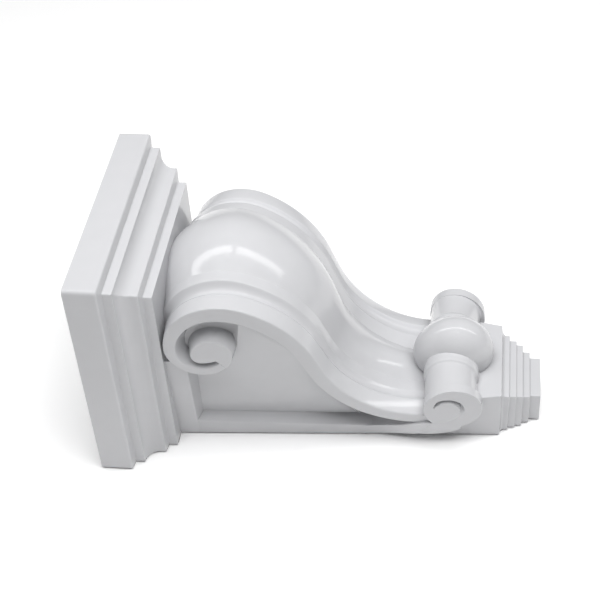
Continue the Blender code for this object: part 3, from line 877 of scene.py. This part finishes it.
def inside_outline(points, outline):
    """True where a point lies inside the closed outline, by counting crossings of a level ray."""
    start, end = outline[None], np.roll(outline, -1, axis=0)[None]
    x, y = points[:, None, 0], points[:, None, 1]
    straddles = (start[..., 1] > y) != (end[..., 1] > y)
    rise = np.where(np.abs(end[..., 1] - start[..., 1]) < 1e-12, 1e-12, end[..., 1] - start[..., 1])
    crossing = start[..., 0] + (end[..., 0] - start[..., 0]) * (y - start[..., 1]) / rise
    return (straddles & (x < crossing)).sum(axis=1) % 2 == 1


def outward_normals():
    """Unit normals of the outline in its own plane, pointing away from the face."""
    along = np.roll(end_line, -1, axis=0) - np.roll(end_line, 1, axis=0)
    out = np.stack([along[:, 1], -along[:, 0]], axis=-1) / np.linalg.norm(along, axis=1)[:, None]
    if inside_outline(end_line[:1] + out[:1] * 1e-5, end_line)[0]:
        out = -out
    return out


def end_shell():
    """Points and faces of the shell at one end of the pin, as (half width, depth, height)."""
    out = outward_normals()
    corners = [(0.0, -EDGE_REACH), (0.0, 0.0), (EDGE_REACH, 0.0)]
    profile = soften(np.array(corners), [0, EDGE_ARRIS, 0], EDGE_STEPS)
    rows = np.concatenate([profile, [(DISC_THICKNESS, 0.0)]])
    from_top = (end_line[:, 1].max() - end_line[:, 1]) / STRAP_END_REACH
    free = blend(STRAP_END_FREE, 1, ease(from_top))[:, None]
    rings = end_line[None] + rows[:, 1, None, None] * (out * free)[None]
    half = end_face(rings[..., 0], rings[..., 1]) - carving(rings[..., 0], rings[..., 1]) - rows[:, :1]
    sides = [np.arange(a, b, NET_SPACING) for a, b in zip(rings[0].min(axis=0), rings[0].max(axis=0))]
    net = np.stack(np.meshgrid(*sides, indexing="ij"), -1).reshape(-1, 2)
    net = net[inside_outline(net, end_line - out * (EDGE_REACH * free + NET_SPACING * NET_CLEAR))]
    count = len(rings[0])
    flat = np.concatenate([rings[0], net]).tolist()
    filled = delaunay_2d_cdt(flat, [], [list(range(count))], 1, FILL_TOLERANCE)
    face_points = np.array(filled[0])
    face_half = end_face(*face_points.T) - carving(*face_points.T)
    wall_points = np.concatenate([half[..., None], rings], -1).reshape(-1, 3)
    first = len(face_points)
    faces = [list(face) for face in filled[2]] + tube_faces(len(rings), count, first).tolist()
    faces.append(list(range(first + (len(rings) - 1) * count, first + len(rings) * count)))
    return np.concatenate([np.column_stack([face_half, face_points]), wall_points]), faces


end_points, end_faces = end_shell()
print("strap and disc face", len(end_faces), "faces")

# %% [markdown]
# Between its two faces the strap is solid. A tube with three corners a side fills it, a little
# behind the faces and with the front wall sloping inwards.

# %% Body of the straps
STRAP_UNDER = 0.0016
STRAP_WALL = 0.0040
STRAP_BACK_CLEAR = 0.0002
STRAP_FRONT_CLEAR = 0.0001
STRAP_STEPS = 60


def strap_rings():
    """Rings of the straps' body: lower edge, front arris and the foot of the sloping wall, mirrored."""
    lower, upper = flowing(STRAP_LOWER, STRAP_STEPS), flowing(STRAP_UPPER, STRAP_STEPS)
    low_half = end_face(*lower.T) - STRAP_UNDER
    high_half = end_face(*upper.T) - STRAP_UNDER
    half = np.stack([low_half, high_half, high_half - STRAP_WALL], axis=1)
    depth = np.stack([lower[:, 0] + STRAP_BACK_CLEAR, upper[:, 0] - STRAP_FRONT_CLEAR,
                      upper[:, 0] + DRAFT * STRAP_WALL], axis=1)
    height = np.stack([lower[:, 1], upper[:, 1], upper[:, 1]], axis=1)
    half = np.concatenate([half, -half[:, ::-1]], axis=1)
    return in_frame(half, np.concatenate([depth, depth[:, ::-1]], axis=1),
                    np.concatenate([height, height[:, ::-1]], axis=1))


strap_body = strap_rings()
print("strap", strap_body.shape)

# %% [markdown]
# ## One moulding
#
# The shells overlap, as clay parts pressed together before the mould is taken, and become one
# mesh. Faces are smooth except where they meet at more than 32 degrees, which keeps the mitres
# and steps crisp. The mesh replaces the imported solid.

# %% Put the corbel together
SHARP_ANGLE = math.radians(32)
bodies = [cap_body, foot_body, scroll_body, rail_body, post_body, panel_body,
          ground_body, eye_body, pin_body, bead_body, strap_body]
ends = [(in_frame(side * end_points[:, 0], end_points[:, 1], end_points[:, 2]), end_faces)
        for side in (-1, 1)]
corbel_mesh = shell_mesh("corbel_moulding", bodies, ends)
corbel = bpy.data.objects.new("corbel_moulding", corbel_mesh)
bpy.context.collection.objects.link(corbel)
corbel_mesh.shade_smooth()
corbel_mesh.set_sharp_from_angle(angle=SHARP_ANGLE)
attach(corbel, "root")
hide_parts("corbel")
print("corbel", len(corbel_mesh.polygons), "faces")

# %% [markdown]
# ## White gloss
#
# The casting is painted a clean gloss white. A faint unevenness in the gloss and a very shallow
# ripple keep the reflections from looking like glass. Both come from one noise on Object
# coordinates, so they stay with the piece when it is moved.

# %% Material
def white_gloss():
    """Principled white with noise in roughness and a shallow bump, all on Object coordinates."""
    material = bpy.data.materials.new("white_gloss")
    material.use_nodes = True
    nodes, links = material.node_tree.nodes, material.node_tree.links
    shader = nodes["Principled BSDF"]
    place = nodes.new("ShaderNodeTexCoord")
    ripple = nodes.new("ShaderNodeTexNoise")
    ripple.inputs["Scale"].default_value = 90.0
    ripple.inputs["Detail"].default_value = 3.0
    links.new(place.outputs["Object"], ripple.inputs["Vector"])
    gloss = nodes.new("ShaderNodeMapRange")
    gloss.inputs["To Min"].default_value = 0.10
    gloss.inputs["To Max"].default_value = 0.15
    links.new(ripple.outputs["Fac"], gloss.inputs["Value"])
    links.new(gloss.outputs["Result"], shader.inputs["Roughness"])
    tone = nodes.new("ShaderNodeValToRGB")
    tone.color_ramp.elements[0].color = (0.490, 0.492, 0.507, 1)
    tone.color_ramp.elements[1].color = (0.515, 0.517, 0.531, 1)
    links.new(ripple.outputs["Fac"], tone.inputs["Fac"])
    links.new(tone.outputs["Color"], shader.inputs["Base Color"])
    bump = nodes.new("ShaderNodeBump")
    bump.inputs["Strength"].default_value = 0.05
    bump.inputs["Distance"].default_value = 0.0004
    links.new(ripple.outputs["Fac"], bump.inputs["Height"])
    links.new(bump.outputs["Normal"], shader.inputs["Normal"])
    return material


corbel_mesh.materials.append(white_gloss())
print("material", corbel_mesh.materials[0].name)

# %% [markdown]
# ## Camera
#
# The corbel lies on its back before the lens, so the camera looks along the foot and is rolled:
# the wall plane is the table in the picture. Its three axes are given as unit vectors, which is
# plainer than three angles when the camera is rolled.

# %% Camera
CAMERA_PLACE = (-0.596253, -0.627556, -0.106741)
CAMERA_RIGHT = (0.120941, 0.057626, -0.990986)
CAMERA_UP = (0.673474, -0.738167, 0.039267)
CAMERA_BACK = (-0.729250, -0.672152, -0.128084)
CAMERA_LENS = 80.504
CAMERA_SENSOR = 36.0
CAMERA_CLIP = 0.01


def placed(right, up, back, place):
    """Matrix of an object whose own X, Y and Z point along right, up and back."""
    return Matrix([[right[k], up[k], back[k], place[k]] for k in range(3)] + [[0, 0, 0, 1]])


camera = bpy.data.objects.new("camera", bpy.data.cameras.new("camera"))
camera.data.lens = CAMERA_LENS
camera.data.sensor_width = CAMERA_SENSOR
camera.data.clip_start = CAMERA_CLIP
camera.matrix_world = placed(CAMERA_RIGHT, CAMERA_UP, CAMERA_BACK, CAMERA_PLACE)
bpy.context.collection.objects.link(camera)
bpy.context.scene.camera = camera
print("camera", round(math.dist(CAMERA_PLACE, (0, 0, 0)), 2), "m from the fixing point")

# %% [markdown]
# ## Table
#
# The table is the wall plane the back rests on. It is see-through from behind and open under the
# piece, so the corbel can be walked round and light reaches its back. The opening is a little
# smaller than the back, so it isn't seen from in front.

# %% Table
TABLE_REACH = 3.0
TABLE_GAP = 0.0012
OPENING_INSET = 0.003
TIP_LEVEL = 0.006
TIP_HALF = 0.016


def table_material():
    """White diffuse in front, transparent from behind."""
    material = bpy.data.materials.new("white_table")
    material.use_nodes = True
    nodes, links = material.node_tree.nodes, material.node_tree.links
    shader = nodes["Principled BSDF"]
    shader.inputs["Base Color"].default_value = (0.95, 0.95, 0.95, 1)
    shader.inputs["Roughness"].default_value = 0.9
    shader.inputs["Specular IOR Level"].default_value = 0.0
    clear = nodes.new("ShaderNodeBsdfTransparent")
    facing = nodes.new("ShaderNodeNewGeometry")
    choice = nodes.new("ShaderNodeMixShader")
    links.new(facing.outputs["Backfacing"], choice.inputs["Fac"])
    links.new(shader.outputs["BSDF"], choice.inputs[1])
    links.new(clear.outputs["BSDF"], choice.inputs[2])
    links.new(choice.outputs["Shader"], nodes["Material Output"].inputs["Surface"])
    return material


def table_sheet():
    """Points (x, z) and faces of the table: a square filled up to the outline of the back."""
    cap = cap_rows()[0][::-1]
    heights = np.concatenate([[TIP_LEVEL, BLOCK_BOTTOM, UNDERSIDE], cap[:-1, 3], [HEIGHT - OPENING_INSET]])
    halves = np.concatenate([[TIP_HALF, flank(0, BLOCK_BOTTOM), flank(0, UNDERSIDE)], cap[:, 0]])
    side = np.stack([halves - OPENING_INSET, heights - FIXING_HEIGHT], axis=-1)
    opening = np.concatenate([side, side[::-1] * (-1, 1)])
    edge = TABLE_REACH * np.array([(-1, -1), (1, -1), (1, 1), (-1, 1)])
    loops = [list(range(4)), list(range(4, 4 + len(opening)))]
    filled = delaunay_2d_cdt(np.concatenate([edge, opening]).tolist(), [], loops, 0, FILL_TOLERANCE)
    points = np.array(filled[0])
    middles = np.array([points[list(face)].mean(axis=0) for face in filled[2]])
    covered = inside_outline(middles, opening)
    return points, [list(face) for face, hidden in zip(filled[2], covered) if not hidden]


sheet_points, sheet_faces = table_sheet()
table_mesh = bpy.data.meshes.new("table")
table_mesh.from_pydata(np.insert(sheet_points, 1, TABLE_GAP, axis=1).tolist(), [], sheet_faces)
table_mesh.materials.append(table_material())
table = bpy.data.objects.new("table", table_mesh)
bpy.context.collection.objects.link(table)
print("table", len(sheet_faces), "faces")

# %% [markdown]
# ## Light
#
# A key light stands on the near side and stays out of reflections, so the gloss isn't washed out.
# Two long strips draw the thin bright arcs on it, a lamp behind shows the back, and a faint world
# fills the shadows. The view transform is Standard, because a plain studio picture has no film
# curve.

# %% Lights
STRIP_OUT = 0.83
STRIP_MIDDLE = -0.07
STRIP_SIDE = 0.18
WORLD_STRENGTH = 0.12


def soft_box(name, place, target, size, power):
    """Rectangular area light that faces its target."""
    data = bpy.data.lights.new(name, "AREA")
    data.shape = "RECTANGLE"
    data.size, data.size_y = size
    data.energy = power
    lamp = bpy.data.objects.new(name, data)
    direction = np.array(target, float) - np.array(place, float)
    back = -direction / np.linalg.norm(direction)
    side = np.cross([0.0, 0.0, 1.0], back)
    side /= np.linalg.norm(side)
    lamp.matrix_world = placed(side, np.cross(back, side), back, place)
    bpy.context.collection.objects.link(lamp)
    return lamp


key = soft_box("key", (-0.25, -1.3, -0.15), (0, 0, 0), (0.9, 1.3), 22.5)
key.visible_glossy = False
for end in (-1, 1):
    level = end * STRIP_OUT + STRIP_MIDDLE
    soft_box("strip", (STRIP_SIDE, -1.15, level), (STRIP_SIDE, 0, level), (0.15, 1.56), 3.8)
soft_box("behind", (0.2, 1.2, 0.1), (0, 0, 0), (1.0, 1.0), 6.0)
world = bpy.data.worlds.new("pale_room")
world.use_nodes = True
world.node_tree.nodes["Background"].inputs["Color"].default_value = (1, 1, 1, 1)
world.node_tree.nodes["Background"].inputs["Strength"].default_value = WORLD_STRENGTH
bpy.context.scene.world = world
bpy.context.scene.view_settings.view_transform = "Standard"
print("lamps", [lamp.name for lamp in bpy.data.lights])
